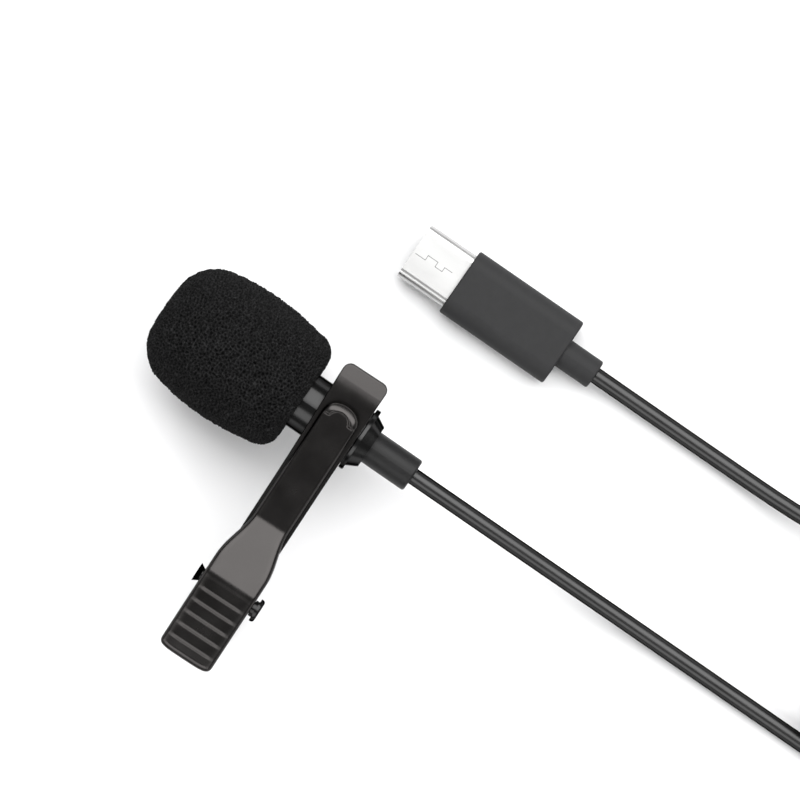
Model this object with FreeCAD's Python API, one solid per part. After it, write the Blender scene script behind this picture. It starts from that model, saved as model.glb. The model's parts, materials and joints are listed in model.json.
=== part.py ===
import FreeCAD, Part
import math
import os

# Clip-on lavalier microphone with a foam windscreen, a sprung clip and a USB-C plug on its cord.
# Units are millimetres. +Z is up and the object lies on z = 0. The microphone's axis is parallel to X,
# with the foam towards -X and the cord leaving towards +X. The clip crosses it along Y, tab towards +Y.
# The origin is under the middle of the object's box, measured without the free cord and its plug.

# ---- places -------------------------------------------------------------------------------------
AXIS_X = 7.7              # where the clip's centre line crosses the microphone's axis
AXIS_Y = 14.0
AXIS_Z = 9.5              # axis height: the foam's largest radius rests on the floor
PLUG_Y = 25.07            # plug axis, measured from the microphone's axis
CLIP_ROLL = 8.0           # degrees about X: the back lever's finger pad comes down to the floor
CLIP_LEAN = 1.4           # degrees about the plate's normal, the clip's swivel as it lies

# ---- microphone head ----------------------------------------------------------------------------
FOAM_FRONT = -27.7
FOAM_REAR = -5.52
FOAM_R = 9.5
FOAM_REAR_R = 6.7
FOAM_BORE_DEPTH = 15.2
BARREL_FRONT = -20.6
BARREL_R = 4.05
BARREL_WALL = 0.5
FLANGE_START = 3.3
FLANGE_END = 3.98
FLANGE_R = 4.63
COLLAR_END = 5.48
COLLAR_BIG_R = 3.95
COLLAR_SMALL_R = 3.135
BOOT_END = 12.25
BOOT_R = 2.375
CAPSULE_R = 3.0
CAPSULE_FRONT = -19.0
CAPSULE_REAR = -14.0

# ---- holder and clip (v along the clip, w up from the microphone's axis, u across) ---------------
RUNNING_GAP = 0.05
RING_R = 4.62
RING_WIDTH = 5.0
RING_SLOT = 0.6
PLATE_BOTTOM = 4.85
SHEET = 0.8
PLATE_TOP = PLATE_BOTTOM + SHEET
LEVER_SHEET = 0.6
PLATE_EDGE_R = 0.2
RIVET_R = 1.1
PIN_V = -25.75
PIN_W = 7.2
PIN_R = 0.925
PIN_REACH_MINUS = 4.79
PIN_REACH_PLUS = 5.10
LEVER_HALF = 3.93         # half width of the front lever at its finger pad
NOSE_HALF = 2.62
PLATE_HALF = 3.15
TAB_HALF = 3.37
TAB_DROP = 0.75           # the tab's end is bent down a little
TAB_END = 8.55
PAD_END = -36.2
FOOT_W = -4.65            # the back lever's lowest edge, which meets the floor
KNEE_V = -24.2             # where the front lever's shoulder meets its finger pad
KNEE_W = 10.5
PAD_SLOPE = 0.02
RIDGE_V = -26.0            # first ridge of the front finger pad
RIDGE_PITCH = 1.88
RIDGE_COUNT = 5
SPRING_WIRE_R = 0.27
SPRING_R = 1.75
SPRING_TURNS = 4
SPRING_PITCH = 0.62
SPRING_LEG = 9.3
SPRING_LEG_SLOPE = 38.0   # degrees between the two legs

# ---- plug ---------------------------------------------------------------------------------------
SHELL_TIP = -4.8
SHELL_WIDTH = 8.25
SHELL_HEIGHT = 2.4
SHELL_WALL = 0.28
MOULD_START = 2.59
MOULD_END = 19.58
MOULD_WIDTH = 9.86
MOULD_HEIGHT = 4.8
RELIEF_END = 24.8
RELIEF_R = 2.075
CONTACT_COUNT = 12
CONTACT_PITCH = 0.5

# ---- cord ---------------------------------------------------------------------------------------
CORD_D = 2.3
CORD_R = CORD_D / 2
CORD_LENGTH = 1500.0
CORD_HOLE_R = CORD_R + 0.03
COIL_X = 89.0             # coil centre, measured from the point where clip and axis cross
COIL_Y = 17.25
COIL_BOTTOM = 0.45
COIL_LAYERS = 4
COIL_TURNS = 5            # turns side by side in a layer
COIL_MEAN_R = 12.6
TIE_THICK = 0.4
TIE_WIDTH = 5.0
COIL_OUT_DEG = 125.0      # where the cord leaves the outer turn of the top layer

COIL_OUTER_TURN = COIL_MEAN_R + CORD_D * (COIL_TURNS - 1) / 2
COIL_OUTER_R = COIL_OUTER_TURN + CORD_R
COIL_INNER_R = COIL_MEAN_R - CORD_D * COIL_TURNS / 2
COIL_HEIGHT = COIL_LAYERS * CORD_D
COIL_TOP_TURN = COIL_BOTTOM + COIL_HEIGHT - CORD_R
COIL_OUT_X = COIL_X + COIL_OUTER_TURN * math.cos(math.radians(COIL_OUT_DEG))
COIL_OUT_Y = COIL_Y + COIL_OUTER_TURN * math.sin(math.radians(COIL_OUT_DEG))

# The cord's route, measured from the crossing point in X and Y and from the floor in Z.
MIC_RUN = [
    (BOOT_END, 0.0, AXIS_Z),
    (21.0, 0.0, 9.2),
    (34.0, 0.0, 5.4),
    (50.0, 0.0, 1.75),
    (72.0, 0.0, 1.2),
    (COIL_X, COIL_Y - COIL_OUTER_TURN, COIL_BOTTOM + CORD_R),
]
PLUG_RUN = [
    (COIL_OUT_X, COIL_OUT_Y, COIL_TOP_TURN),
    (71.5, 26.7, 7.0),
    (60.5, 25.1, 3.6),
    (43.0, PLUG_Y, 1.2),
    (RELIEF_END, PLUG_Y, MOULD_HEIGHT / 2),
]

X_AXIS = FreeCAD.Vector(1, 0, 0)
Y_AXIS = FreeCAD.Vector(0, 1, 0)
Z_AXIS = FreeCAD.Vector(0, 0, 1)
HOME = FreeCAD.Vector(0, 0, 0)


# ---- shapes -------------------------------------------------------------------------------------
def rod(radius, x0, x1, y=0.0, z=0.0):
    """Round bar along X."""
    return Part.makeCylinder(radius, x1 - x0, FreeCAD.Vector(x0, y, z), X_AXIS)


def tube(outer, inner, x0, x1):
    """Round tube along X, on the axis."""
    return rod(outer, x0, x1).cut(rod(inner, x0 - 1, x1 + 1))


def block(x0, x1, y0, y1, z0, z1):
    """Box between two corners."""
    return Part.makeBox(x1 - x0, y1 - y0, z1 - z0, FreeCAD.Vector(x0, y0, z0))


def stadium(width, height, x0, x1):
    """Bar along X with flat top and bottom and full-round sides."""
    flat = (width - height) / 2
    middle = block(x0, x1, -flat, flat, -height / 2, height / 2)
    left = rod(height / 2, x0, x1, y=-flat)
    right = rod(height / 2, x0, x1, y=flat)
    return middle.fuse([left, right]).removeSplitter()


def rounded_wire(points, radii):
    """Closed wire through points, each corner rounded by its own radius (0 leaves it sharp)."""
    edges = []
    ends = []
    count = len(points)
    for i in range(count):
        here = points[i]
        back = (points[i - 1] - here).normalize()
        ahead = (points[(i + 1) % count] - here).normalize()
        radius = radii[i]
        if radius == 0:
            ends.append((here, here))
            continue
        half = back.getAngle(ahead) / 2
        reach = radius / math.tan(half)
        middle = here + (back + ahead).normalize() * (radius / math.sin(half) - radius)
        start = here + back * reach
        end = here + ahead * reach
        edges.append(Part.Arc(start, middle, end).toShape())
        ends.append((start, end))
    for i in range(count):
        start = ends[i][1]
        end = ends[(i + 1) % count][0]
        if start.distanceToPoint(end) > 1e-6:
            edges.append(Part.LineSegment(start, end).toShape())
    return Part.Wire(Part.__sortEdges__(edges))


def plan_prism(outline, w0, w1):
    """Upright prism over an outline of (v, half width, corner radius), mirrored across u = 0."""
    right = [(FreeCAD.Vector(half, v, w0), radius) for v, half, radius in outline]
    left = [(FreeCAD.Vector(-p.x, p.y, w0), radius) for p, radius in reversed(right)]
    corners = right + left
    wire = rounded_wire([p for p, radius in corners], [radius for p, radius in corners])
    return Part.Face(wire).extrude(Z_AXIS * (w1 - w0))


def side_prism(profile, half):
    """Prism across the clip with a side profile of (v, w, corner radius)."""
    points = [FreeCAD.Vector(-half, v, w) for v, w, radius in profile]
    wire = rounded_wire(points, [radius for v, w, radius in profile])
    return Part.Face(wire).extrude(X_AXIS * (2 * half))


def rim_edges(shape, w_above):
    """Edges where a roughly level face meets an upright one, above a height."""
    found = []
    for edge in shape.Edges:
        if edge.BoundBox.ZMax < w_above:
            continue
        level = 0
        upright = 0
        for face in shape.ancestorsOfType(edge, Part.Face):
            where = face.Surface.parameter(edge.valueAt((edge.FirstParameter + edge.LastParameter) / 2))
            slope = abs(face.normalAt(*where).z)
            level += slope > 0.5
            upright += slope < 0.1
        if level == 1 and upright == 1:
            found.append(edge)
    return found


def cord_path(points):
    """Straight runs joined by tangent arcs, each as large as its two runs allow."""
    corners = [FreeCAD.Vector(*p) for p in points]
    edges = []
    radii = []
    start = corners[0]
    for before, here, after in zip(corners, corners[1:], corners[2:]):
        back = before - here
        ahead = after - here
        reach = 0.45 * min(back.Length, ahead.Length)
        back.normalize()
        ahead.normalize()
        half = back.getAngle(ahead) / 2
        radius = reach * math.tan(half)
        radii.append(radius)
        middle = here + (back + ahead).normalize() * (radius / math.sin(half) - radius)
        arc_start = here + back * reach
        arc_end = here + ahead * reach
        edges.append(Part.LineSegment(start, arc_start).toShape())
        edges.append(Part.Arc(arc_start, middle, arc_end).toShape())
        start = arc_end
    edges.append(Part.LineSegment(start, corners[-1]).toShape())
    return Part.Wire(edges), radii


def cord_tube(name, points):
    """Cord solid along a route; prints its bend radii and compares its volume with its length."""
    path, radii = cord_path(points)
    heading = FreeCAD.Vector(*points[1]) - FreeCAD.Vector(*points[0])
    ring = Part.Wire(Part.makeCircle(CORD_R, FreeCAD.Vector(*points[0]), heading))
    solid = path.makePipeShell([ring], True, False)
    expected = path.Length * math.pi * CORD_R ** 2
    print(name, "length", round(path.Length, 2), "volume ratio", round(solid.Volume / expected, 4),
          "radii", [round(radius, 1) for radius in radii])
    return solid


# ---- placing and saving ---------------------------------------------------------------------------
def on_axis(shape):
    """From the microphone's own frame to the object's frame."""
    return shape.translated(FreeCAD.Vector(AXIS_X, AXIS_Y, AXIS_Z))


def on_plug(shape):
    """From the plug's own frame (its axis) to the object's frame."""
    return shape.translated(FreeCAD.Vector(AXIS_X, AXIS_Y + PLUG_Y, MOULD_HEIGHT / 2))


def on_floor(shape):
    """From cord coordinates (z from the floor) to the object's frame."""
    return shape.translated(FreeCAD.Vector(AXIS_X, AXIS_Y, 0))


def on_ring(shape):
    """From the holder's frame to the object's frame: roll round the barrel, then move to the axis."""
    placed = shape.copy()
    placed.rotate(HOME, X_AXIS, CLIP_ROLL)
    return on_axis(placed)


def on_clip(shape):
    """From the clip's frame to the object's frame: swivel on the rivet, then follow the holder."""
    placed = shape.copy()
    placed.rotate(HOME, Z_AXIS, CLIP_LEAN)
    return on_ring(placed)


def save(name, shape):
    """Write one node and report anything wrong with it."""
    if not shape.isValid() or shape.Volume <= 0:
        print("FAULT", name, "valid", shape.isValid(), "volume", shape.Volume)
    shape.exportStep("parts/" + name + ".step")


# ---- microphone head ----------------------------------------------------------------------------
def make_windscreen():
    """Foam ball: flat tip, wide rounded shoulders, narrower flat rear face, blind bore."""
    point = FreeCAD.Vector
    tip_centre = point(FOAM_FRONT, 0, 0)
    tip_edge = point(FOAM_FRONT, 3.6, 0)
    shoulder = point(-22.9, 8.8, 0)
    waist = point(-9.0, 8.62, 0)
    rear_edge = point(FOAM_REAR, FOAM_REAR_R, 0)
    bore_mouth = point(FOAM_REAR, BARREL_R + 0.08, 0)
    bore_end = point(FOAM_REAR - FOAM_BORE_DEPTH, BARREL_R + 0.08, 0)
    bore_centre = point(FOAM_REAR - FOAM_BORE_DEPTH, 0, 0)
    edges = [
        Part.LineSegment(tip_centre, tip_edge).toShape(),
        Part.Arc(tip_edge, point(-26.2, 6.85, 0), shoulder).toShape(),
        Part.Arc(shoulder, point(-16.6, FOAM_R, 0), waist).toShape(),
        Part.Arc(waist, point(-6.6, 7.85, 0), rear_edge).toShape(),
        Part.LineSegment(rear_edge, bore_mouth).toShape(),
        Part.LineSegment(bore_mouth, bore_end).toShape(),
        Part.LineSegment(bore_end, bore_centre).toShape(),
        Part.LineSegment(bore_centre, tip_centre).toShape(),
    ]
    return Part.Face(Part.Wire(edges)).revolve(HOME, X_AXIS, 360)


def make_barrel():
    """Turned metal tube with an inward lip at the front."""
    lip = 0.5
    body = rod(BARREL_R, BARREL_FRONT, FLANGE_START)
    body = body.cut(rod(BARREL_R - BARREL_WALL, BARREL_FRONT + lip, FLANGE_START + 1))
    body = body.cut(rod(3.1, BARREL_FRONT - 1, BARREL_FRONT + 1))
    front_edges = [e for e in body.Edges if abs(e.BoundBox.XMin - BARREL_FRONT) < 0.01
                   and abs(e.BoundBox.YMax - BARREL_R) < 0.01 and e.BoundBox.XLength < 0.01]
    return body.makeFillet(0.35, front_edges)


def make_front_grille():
    """Perforated disc: a centre hole and two rings of holes."""
    start = BARREL_FRONT + 0.52
    end = start + 0.35
    disc = rod(3.5, start, end)
    holes = [rod(0.3, start - 1, end + 1)]
    for ring_r, count in ((1.2, 6), (2.4, 12)):
        for i in range(count):
            angle = 2 * math.pi * i / count
            holes.append(rod(0.3, start - 1, end + 1, ring_r * math.cos(angle), ring_r * math.sin(angle)))
    return disc.cut(holes)


def make_capsule_can():
    """Drawn aluminium cup with one sound hole, rolled over at the rear."""
    wall = 0.25
    can = rod(CAPSULE_R, CAPSULE_FRONT, CAPSULE_REAR)
    can = can.cut(rod(CAPSULE_R - wall, CAPSULE_FRONT + wall, CAPSULE_REAR - wall))
    can = can.cut(rod(0.9, CAPSULE_FRONT - 1, CAPSULE_FRONT + 1))
    return can.cut(rod(CAPSULE_R - 2 * wall, CAPSULE_REAR - 1, CAPSULE_REAR + 1))


def make_back_electrode():
    """Charged plate behind the diaphragm, with six vent holes."""
    plate = rod(2.25, -18.1, -17.7)
    holes = []
    for i in range(6):
        angle = math.pi * i / 3
        holes.append(rod(0.22, -19, -17, 1.3 * math.cos(angle), 1.3 * math.sin(angle)))
    return plate.cut(holes)


def make_rear_collar():
    """Turned collar: hollow spigot in the barrel, thin flange, tapered nose round the boot."""
    spigot = rod(BARREL_R - BARREL_WALL - 0.02, -1.5, FLANGE_START)
    flange = rod(FLANGE_R, FLANGE_START, FLANGE_END)
    flange = flange.makeFillet(0.15, [e for e in flange.Edges if e.BoundBox.XLength < 0.01])
    taper = Part.makeCone(COLLAR_BIG_R, COLLAR_SMALL_R, COLLAR_END - FLANGE_END,
                          FreeCAD.Vector(FLANGE_END, 0, 0), X_AXIS)
    body = spigot.fuse([flange, taper])
    body = body.cut(rod(1.95, -2, FLANGE_END - 0.2))
    return body.cut(rod(1.6, 0, COLLAR_END + 1))


def make_boot():
    """Rubber strain relief: outer sleeve and the neck that the collar grips."""
    sleeve = rod(BOOT_R, COLLAR_END, BOOT_END)
    end_edges = [e for e in sleeve.Edges if abs(e.BoundBox.XMin - BOOT_END) < 0.01]
    sleeve = sleeve.makeFillet(0.35, end_edges)
    neck = rod(1.58, FLANGE_END - 0.1, COLLAR_END)
    return sleeve.fuse(neck).cut(rod(CORD_HOLE_R, 0, BOOT_END + 1))


def save_microphone():
    """The head from front to back, then the capsule's inner pieces."""
    save("foam_windscreen", on_axis(make_windscreen()))
    save("barrel", on_axis(make_barrel()))
    save("front_grille", on_axis(make_front_grille()))
    save("front_gauze", on_axis(rod(3.45, -19.7, -19.45)))
    sleeve = tube(3.48, CAPSULE_R + 0.02, -19.3, -13.4)
    save("capsule_sleeve", on_axis(sleeve.fuse(tube(3.48, 2.3, -19.3, -19.02))))
    save("capsule_can", on_axis(make_capsule_can()))
    save("diaphragm_ring", on_axis(tube(2.7, 2.25, -18.72, -18.45)))
    save("diaphragm", on_axis(rod(2.7, -18.44, -18.34)))
    save("diaphragm_spacer", on_axis(tube(2.7, 2.3, -18.33, -18.22)))
    save("back_electrode", on_axis(make_back_electrode()))
    save("electrode_holder", on_axis(tube(2.7, 2.32, -18.2, -14.95)))
    save("gate_ring", on_axis(tube(2.28, 2.05, -17.65, -14.95)))
    save("capsule_board", on_axis(rod(2.7, -14.9, -14.3)))
    save("capsule_transistor", on_axis(block(-15.7, -14.93, -0.8, 0.8, -0.6, 0.6)))
    pads = [rod(0.5, -14.28, -13.95, y=side * 1.1) for side in (-1, 1)]
    save("solder_pads", on_axis(Part.makeCompound(pads)))
    save("signal_wire", on_axis(rod(0.35, -13.93, 0.2, y=1.1)))
    save("ground_wire", on_axis(rod(0.35, -13.93, 0.2, y=-1.1)))
    save("cord_end_in_boot", on_axis(rod(CORD_R, 0.25, BOOT_END)))
    save("cord_ferrule", on_axis(tube(1.85, CORD_R + 0.02, 0.6, 3.5)))
    save("rear_collar", on_axis(make_rear_collar()))
    save("cord_boot", on_axis(make_boot()))


# ---- holder and clip ------------------------------------------------------------------------------
def make_holder_ring():
    """Springy split ring round the barrel, with a flat seat for the clip's plate on top."""
    half = RING_WIDTH / 2
    ring = rod(RING_R, -half, half)
    seat = Part.makeCylinder(2.3, PLATE_BOTTOM - 2.0, FreeCAD.Vector(0, 0, 2.0), Z_AXIS)
    ring = ring.fuse(seat)
    ring = ring.cut(rod(BARREL_R + RUNNING_GAP, -half - 1, half + 1))
    ring = ring.cut(block(-half - 1, half + 1, -RING_SLOT / 2, RING_SLOT / 2, -RING_R - 1, 0))
    return ring.cut(Part.makeCylinder(RIVET_R, 3, FreeCAD.Vector(0, 0, PLATE_BOTTOM - 1.5), Z_AXIS))


def make_holder_rivet():
    """Rivet that the plate swivels on: shank through seat and plate, low domed head."""
    bottom = BARREL_R + 0.12
    shank = Part.makeCylinder(RIVET_R, PLATE_TOP + 0.06 - bottom, FreeCAD.Vector(0, 0, bottom), Z_AXIS)
    head = Part.makeCylinder(1.7, 0.45, FreeCAD.Vector(0, 0, PLATE_TOP + 0.06), Z_AXIS)
    top_edges = [e for e in head.Edges if abs(e.BoundBox.ZMin - head.BoundBox.ZMax) < 0.01]
    return shank.fuse(head.makeFillet(0.3, top_edges))


def make_back_lever():
    """Back jaw: long plate with a rounded tab, two ears for the pin, finger pad bent away."""
    bend_v = -22.5
    pad_end_v = -35.2
    pad_end_w = FOOT_W + SHEET / math.cos(math.radians(36))
    outline = [(TAB_END, TAB_HALF, 1.1), (3.0, TAB_HALF - 0.1, 20.0), (-6.0, PLATE_HALF, 20.0),
               (-28.0, PLATE_HALF - 0.05, 1.0), (-29.2, 3.6, 1.0), (pad_end_v, 3.6, 1.5)]
    profile = [(TAB_END, PLATE_TOP - TAB_DROP, 0), (5.2, PLATE_TOP, 12.0), (bend_v, PLATE_TOP, 4.0),
               (pad_end_v, pad_end_w, 0), (pad_end_v, FOOT_W, 0),
               (bend_v - 0.26, PLATE_BOTTOM, 4.0 + SHEET), (5.2, PLATE_BOTTOM, 12.0 - SHEET),
               (TAB_END, PLATE_BOTTOM - TAB_DROP, 0)]
    sheet = plan_prism(outline, -8, 8).common(side_prism(profile, 5))
    sheet = sheet.makeFillet(PLATE_EDGE_R, rim_edges(sheet, 5.0))
    ear_profile = [(PIN_V + 2.9, PLATE_BOTTOM + 0.2, 0), (PIN_V + 1.3, PIN_W + 1.5, 1.2),
                   (PIN_V - 1.5, PIN_W + 1.5, 1.2), (PIN_V - 2.6, 1.7, 0)]
    ears = side_prism(ear_profile, PLATE_HALF - 0.05)
    ears = ears.cut(side_prism([(-15, -5, 0), (-15, 12, 0), (-35, 12, 0), (-35, -5, 0)], 2.5))
    lever = sheet.fuse(ears)
    lever = lever.cut(rod(PIN_R + RUNNING_GAP, -6, 6, PIN_V, PIN_W))
    hole = Part.makeCylinder(RIVET_R + RUNNING_GAP, 3, FreeCAD.Vector(0, 0, PLATE_BOTTOM - 1), Z_AXIS)
    return lever.cut(hole)


def front_top(v):
    """Height of the front lever's finger pad at v."""
    return KNEE_W + (v - KNEE_V) * PAD_SLOPE


def make_front_lever():
    """Front jaw: turned-down nose, narrow arm, flared shoulder and ridged finger pad, in one pressing."""
    outline = [(3.8, 1.6, 1.3), (2.0, NOSE_HALF, 1.6), (-15.2, NOSE_HALF, 6.0),
               (-21.2, LEVER_HALF, 5.0), (PAD_END, LEVER_HALF, 1.5)]
    inner = [(2.8, NOSE_HALF - LEVER_SHEET, 1.0), (-15.2, NOSE_HALF - LEVER_SHEET, 6.0),
             (-21.2, LEVER_HALF - LEVER_SHEET, 5.0), (PAD_END + LEVER_SHEET, LEVER_HALF - LEVER_SHEET, 1.0)]
    top = [(3.8, 6.25, 0), (2.83, 6.1, 0.5), (1.24, 7.35, 0.8), (-14.8, 7.7, 4.0),
           (KNEE_V, front_top(KNEE_V), 1.5), (PAD_END, front_top(PAD_END), 0.8)]
    bottom = [(PAD_END, 8.8, 0), (-28.2, 8.5, 0.8), (PIN_V - 1.0, PIN_W - 1.85, 1.2),
              (PIN_V + 1.6, PIN_W - 1.85, 1.2), (-21.6, 6.7, 1.0), (1.6, 6.35, 0.5),
              (2.7, PLATE_TOP + 0.06, 0), (3.8, PLATE_TOP + 0.06, 0)]
    under = [(2.8, 5.0, 0), (2.8, 5.4, 0), (1.0, 6.72, 0.4), (-14.9, 7.08, 3.5),
             (KNEE_V - 0.17, front_top(KNEE_V) - LEVER_SHEET, 1.0),
             (PAD_END + LEVER_SHEET, front_top(PAD_END) - LEVER_SHEET, 0), (PAD_END + LEVER_SHEET, 5.0, 0)]
    lever = plan_prism(outline, 0, 14).common(side_prism(top + bottom, 5))
    hollow = plan_prism(inner, 0, 14).common(side_prism(under, 5))
    lip = block(-3, 3, 2.4, 5.0, 5.0, PLATE_TOP + 0.6)
    lever = lever.cut(hollow.cut(lip))
    ridges = []
    ridge_r = 1.1
    proud = 0.28
    for i in range(RIDGE_COUNT):
        v = RIDGE_V - RIDGE_PITCH * i
        centre = front_top(v) + proud - ridge_r
        ridges.append(rod(ridge_r, -2.9, 2.9, v, centre))
    pad_top = side_prism([(-20, 12, 0), (-20, front_top(-20) - 0.2, 0),
                          (PAD_END, front_top(PAD_END) - 0.2, 0), (PAD_END, 12, 0)], 3.2)
    ridges = [ridge.common(pad_top) for ridge in ridges]
    lever = lever.fuse(ridges).removeSplitter()
    return lever.cut(rod(PIN_R + RUNNING_GAP, -6, 6, PIN_V, PIN_W))


def make_pivot_pin():
    """Rivet pin: plain shank, flared tail at one end, domed head on a short neck at the other."""
    shank = rod(PIN_R, -PIN_REACH_MINUS, PIN_REACH_PLUS - 0.4)
    tail = Part.makeCone(1.35, PIN_R, 0.7, FreeCAD.Vector(-PIN_REACH_MINUS, 0, 0), X_AXIS)
    neck = rod(1.15, LEVER_HALF + 0.06, PIN_REACH_PLUS - 0.4)
    head = rod(1.65, PIN_REACH_PLUS - 0.62, PIN_REACH_PLUS)
    outer_edges = [e for e in head.Edges if abs(e.BoundBox.XMin - PIN_REACH_PLUS) < 0.01]
    head = head.makeFillet(0.4, outer_edges)
    pin = shank.fuse([tail, neck, head]).removeSplitter()
    return pin.translated(FreeCAD.Vector(0, PIN_V, PIN_W))


def make_torsion_spring():
    """Coil round the pin with one leg under each finger pad; it holds the jaw shut."""
    turn_total = 2 * math.pi * (SPRING_TURNS + 0.5 - SPRING_LEG_SLOPE / 360)
    rise = SPRING_PITCH / (2 * math.pi)
    arcs_per_turn = 6
    count = round(turn_total / (2 * math.pi) * arcs_per_turn)

    def on_helix(angle):
        return FreeCAD.Vector(SPRING_R * math.cos(angle), SPRING_R * math.sin(angle), rise * angle)

    def heading(angle):
        return FreeCAD.Vector(-SPRING_R * math.sin(angle), SPRING_R * math.cos(angle), rise).normalize()

    start = on_helix(0)
    end = on_helix(turn_total)
    first = start - heading(0) * SPRING_LEG
    edges = [Part.LineSegment(first, start).toShape()]
    for i in range(count):
        angles = [turn_total * (i + part) / count for part in (0.0, 0.5, 1.0)]
        edges.append(Part.Arc(*[on_helix(angle) for angle in angles]).toShape())
    edges.append(Part.LineSegment(end, end + heading(turn_total) * SPRING_LEG).toShape())
    ring = Part.Wire(Part.makeCircle(SPRING_WIRE_R, first, heading(0)))
    spring = Part.Wire(edges).makePipeShell([ring], True, False)
    spring.rotate(HOME, Y_AXIS, 90)
    spring.rotate(HOME, X_AXIS, SPRING_LEG_SLOPE)
    return spring.translated(FreeCAD.Vector(-end.z / 2, PIN_V, PIN_W))


def save_clip():
    """Holder, both levers, pin and spring."""
    save("holder_ring", on_ring(make_holder_ring()))
    save("holder_rivet", on_ring(make_holder_rivet()))
    save("back_lever", on_clip(make_back_lever()))
    save("front_lever", on_clip(make_front_lever()))
    save("pivot_pin", on_clip(make_pivot_pin()))
    save("torsion_spring", on_clip(make_torsion_spring()))


# ---- plug ---------------------------------------------------------------------------------------
def save_plug():
    """The USB-C plug from its metal shell to its strain relief, then what the moulding hides."""
    inner_width = SHELL_WIDTH - 2 * SHELL_WALL
    inner_height = SHELL_HEIGHT - 2 * SHELL_WALL
    shell_end = 4.0
    shell = stadium(SHELL_WIDTH, SHELL_HEIGHT, SHELL_TIP, shell_end)
    shell = shell.cut(stadium(inner_width, inner_height, SHELL_TIP - 1, shell_end + 1))
    save("plug_shell", on_plug(shell))

    slot_half_w = 3.4
    slot_half_h = 0.45
    slot_end = 0.9
    liner = stadium(inner_width - 0.04, inner_height - 0.04, SHELL_TIP + 0.35, shell_end - 0.1)
    liner = liner.cut(block(SHELL_TIP - 1, slot_end, -slot_half_w, slot_half_w, -slot_half_h, slot_half_h))
    save("plug_insulator", on_plug(liner))

    contact_half = 0.13
    contact_thick = 0.12
    for name, side in (("upper_contacts", 1), ("lower_contacts", -1)):
        strips = []
        for i in range(CONTACT_COUNT):
            y = (i - (CONTACT_COUNT - 1) / 2) * CONTACT_PITCH
            low = min(side * slot_half_h, side * (slot_half_h - contact_thick))
            strips.append(block(SHELL_TIP + 1.2, slot_end - 0.02, y - contact_half, y + contact_half,
                                low, low + contact_thick))
        save(name, on_plug(Part.makeCompound(strips)))
    latches = [block(SHELL_TIP + 1.4, slot_end - 0.02, side * 3.26 - 0.12, side * 3.26 + 0.12, -0.3, 0.3)
               for side in (-1, 1)]
    save("latch_springs", on_plug(Part.makeCompound(latches)))

    board_start = 4.05
    board_end = 13.6
    board_half_h = 0.3
    save("plug_board", on_plug(block(board_start, board_end, -3.4, 3.4, -board_half_h, board_half_h)))
    save("codec_chip", on_plug(block(6.6, 9.8, -1.6, 1.6, board_half_h, board_half_h + 0.75)))
    parts = []
    for x, y, top in ((5.2, -2.4, 1), (5.2, 2.4, 1), (10.9, -2.2, 1), (10.9, 0.0, 1), (10.9, 2.2, 1),
                      (7.0, -1.5, -1), (7.0, 1.5, -1), (10.0, 0.0, -1)):
        low = board_half_h if top > 0 else -board_half_h - 0.5
        parts.append(block(x - 0.5, x + 0.5, y - 0.28, y + 0.28, low, low + 0.5))
    save("board_components", on_plug(Part.makeCompound(parts)))

    shield = stadium(8.6, 3.5, board_start, 15.2)
    shield = shield.cut(stadium(8.2, 3.1, board_start - 1, 15.0))
    save("plug_shield", on_plug(shield.cut(rod(1.5, 14, 16))))
    wires = [rod(0.32, board_end + 0.02, 15.6, y=side * 0.6) for side in (-1, 1)]
    save("plug_wires", on_plug(Part.makeCompound(wires)))
    save("cord_end_in_plug", on_plug(rod(CORD_R, 15.65, RELIEF_END)))
    save("plug_crimp", on_plug(tube(1.75, CORD_R + 0.02, 15.7, 18.2)))

    mould = stadium(MOULD_WIDTH, MOULD_HEIGHT, MOULD_START, MOULD_END)
    mould = mould.makeFillet(0.3, [e for e in mould.Edges if e.BoundBox.XLength < 0.01])
    mould = mould.cut(stadium(SHELL_WIDTH + 0.02, SHELL_HEIGHT + 0.02, MOULD_START - 1, board_start))
    mould = mould.cut(stadium(8.64, 3.54, board_start - 0.02, 15.22))
    mould = mould.cut(rod(1.78, 15, 18.22))
    save("plug_overmould", on_plug(mould.cut(rod(CORD_HOLE_R, 18, MOULD_END + 1))))
    relief = rod(RELIEF_R, MOULD_END, RELIEF_END)
    relief = relief.makeFillet(0.3, [e for e in relief.Edges if abs(e.BoundBox.XMin - RELIEF_END) < 0.01])
    save("plug_strain_relief", on_plug(relief.cut(rod(CORD_HOLE_R, MOULD_END - 1, RELIEF_END + 1))))


# ---- cord ---------------------------------------------------------------------------------------
def make_coil():
    """Outer shape of the wound cord: a ring of nearly square section with rounded edges."""
    base = FreeCAD.Vector(COIL_X, COIL_Y, COIL_BOTTOM)
    coil = Part.makeCylinder(COIL_OUTER_R, COIL_HEIGHT, base, Z_AXIS)
    coil = coil.cut(Part.makeCylinder(COIL_INNER_R, COIL_HEIGHT, base, Z_AXIS))
    rims = [e for e in coil.Edges if e.BoundBox.ZLength < 0.01]
    return coil.makeFillet(CORD_R - 0.05, rims)


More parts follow.
